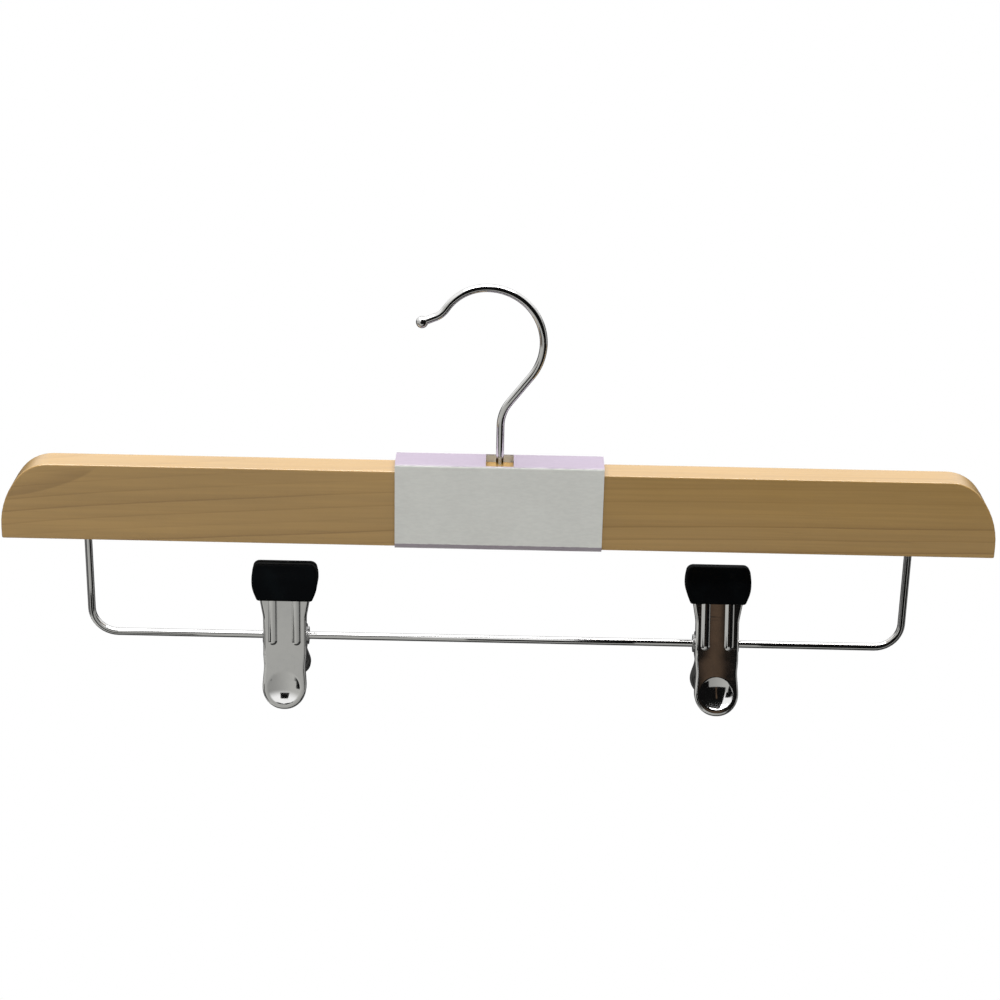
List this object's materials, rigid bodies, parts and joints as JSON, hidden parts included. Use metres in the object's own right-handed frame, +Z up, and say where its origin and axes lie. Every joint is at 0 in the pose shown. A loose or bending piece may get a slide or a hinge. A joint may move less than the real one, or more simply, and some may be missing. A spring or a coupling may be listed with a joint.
{
  "type": "trouser hanger",
  "caption": "Wooden trouser hanger with a swivelling wire hook and a wire rail that carries sliding sprung clips with soft caps; a plain card sleeve wraps the bar.",
  "frame": {"origin": "on the hook's swivel axis, at the inside of the hook, where it bears on a wardrobe rail", "axes": "+X along the bar to the right seen from the front, +Y to the back, +Z up along the swivel axis"},
  "size_m": [0.36, 0.0332, 0.1628],
  "materials": {
    "wood": "clear satin lacquer on pale wood",
    "chrome": "polished chrome plate",
    "steel": "bright zinc-plated steel",
    "vinyl": "matt soft vinyl",
    "card": "smooth uncoated card"
  },
  "bodies": {
    "hook": {"hook": "chrome"},
    "bar": {"wooden_bar": "wood", "hook_washer": "steel", "drop_bar": "chrome", "card_sleeve": "card"},
    "left_runner": {"left_eyelet": "steel"},
    "left_front": {"left_front_jaw": "chrome", "left_front_cap": "vinyl", "left_spring": "steel"},
    "left_rear": {"left_rear_jaw": "chrome", "left_rear_cap": "vinyl"},
    "right_runner": {"right_eyelet": "steel"},
    "right_front": {"right_front_jaw": "chrome", "right_front_cap": "vinyl", "right_spring": "steel"},
    "right_rear": {"right_rear_jaw": "chrome", "right_rear_cap": "vinyl"}
  },
  "joints": [
    {"name": "hook_swivel", "type": "hinge", "parent": "hook", "child": "bar", "pos_m": [0, 0, 0], "axis": [0, 0, 1], "continuous": true},
    {"name": "left_clip_slide", "type": "slide", "parent": "bar", "child": "left_runner", "axis": [1, 0, 0], "range_m": [-0.053, 0.0655]},
    {"name": "left_clip_swing", "type": "hinge", "parent": "left_runner", "child": "left_front", "pos_m": [-0.078, 0, -0.13325], "axis": [1, 0, 0], "continuous": true},
    {"name": "left_clip_squeeze", "type": "hinge", "parent": "left_front", "child": "left_rear", "pos_m": [-0.078, 0, -0.13325], "axis": [-1, 0, 0], "range_deg": [0, 40], "stiffness_Nm_per_rad": 0.35, "springref_deg": -40.11, "deforming": ["left_spring"]},
    {"name": "right_clip_slide", "type": "slide", "parent": "bar", "child": "right_runner", "axis": [1, 0, 0], "range_m": [-0.069, 0.0495]},
    {"name": "right_clip_swing", "type": "hinge", "parent": "right_runner", "child": "right_front", "pos_m": [0.0815, 0, -0.13325], "axis": [1, 0, 0], "continuous": true},
    {"name": "right_clip_squeeze", "type": "hinge", "parent": "right_front", "child": "right_rear", "pos_m": [0.0815, 0, -0.13325], "axis": [-1, 0, 0], "range_deg": [0, 40], "stiffness_Nm_per_rad": 0.35, "springref_deg": -40.11, "deforming": ["right_spring"]}
  ]
}
